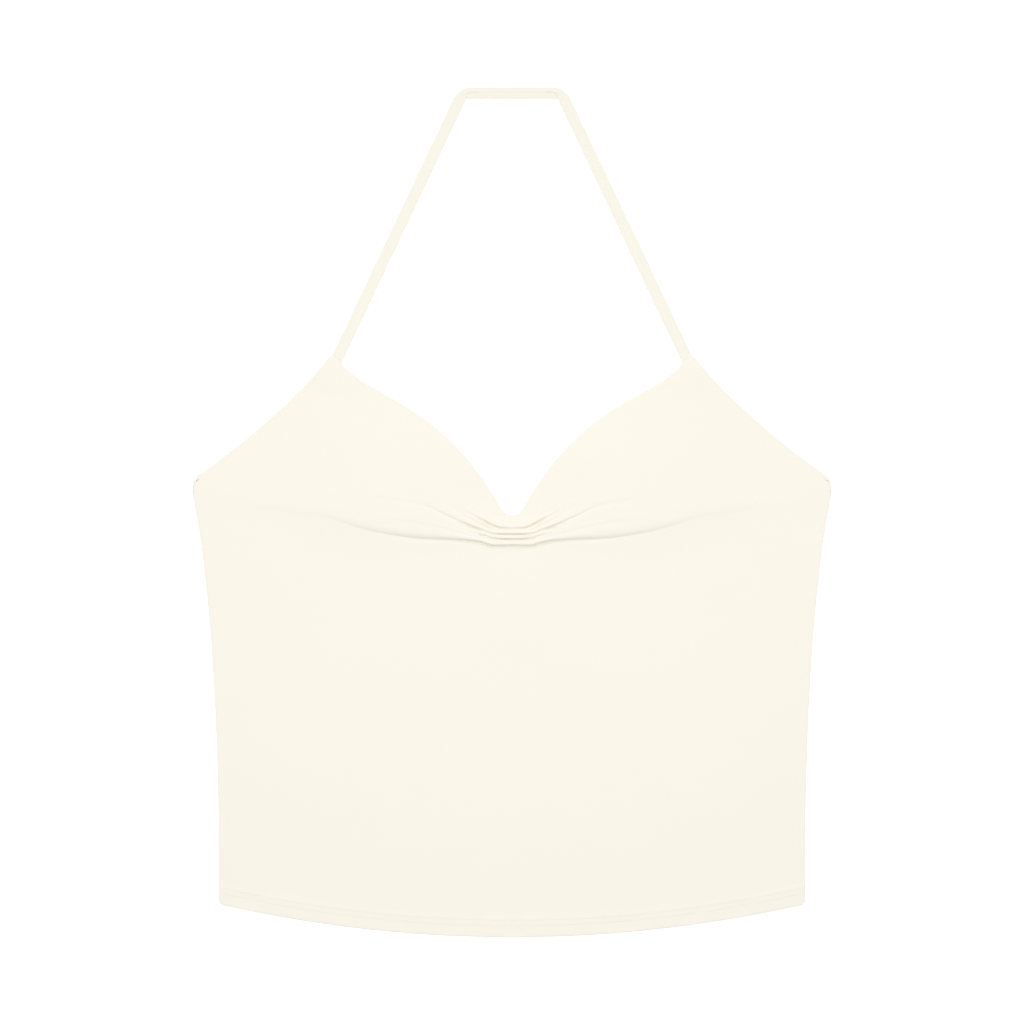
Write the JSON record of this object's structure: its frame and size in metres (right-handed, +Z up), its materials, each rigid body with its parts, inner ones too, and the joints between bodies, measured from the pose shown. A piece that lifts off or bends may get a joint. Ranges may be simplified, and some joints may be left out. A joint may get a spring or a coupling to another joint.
{
  "type": "halter neck top",
  "caption": "Cream jersey halter neck top with a gathered sweetheart neckline, laid flat on its back, front side up.",
  "frame": {"origin": "middle of the laid-out garment's outline, on the table under it", "axes": "+Z up from the table through the front; +Y from the hem towards the neck strap; +X across the garment"},
  "size_m": [0.4624, 0.6156, 0.0083],
  "materials": {
    "back_jersey": "smooth cream jersey, matt",
    "front_jersey": "smooth cream jersey, matt",
    "strap_jersey": "smooth cream jersey, pressed strip"
  },
  "bodies": {
    "root": {"back_panel": "back_jersey", "front_panel": "front_jersey", "halter_strap": "strap_jersey"}
  },
  "joints": []
}
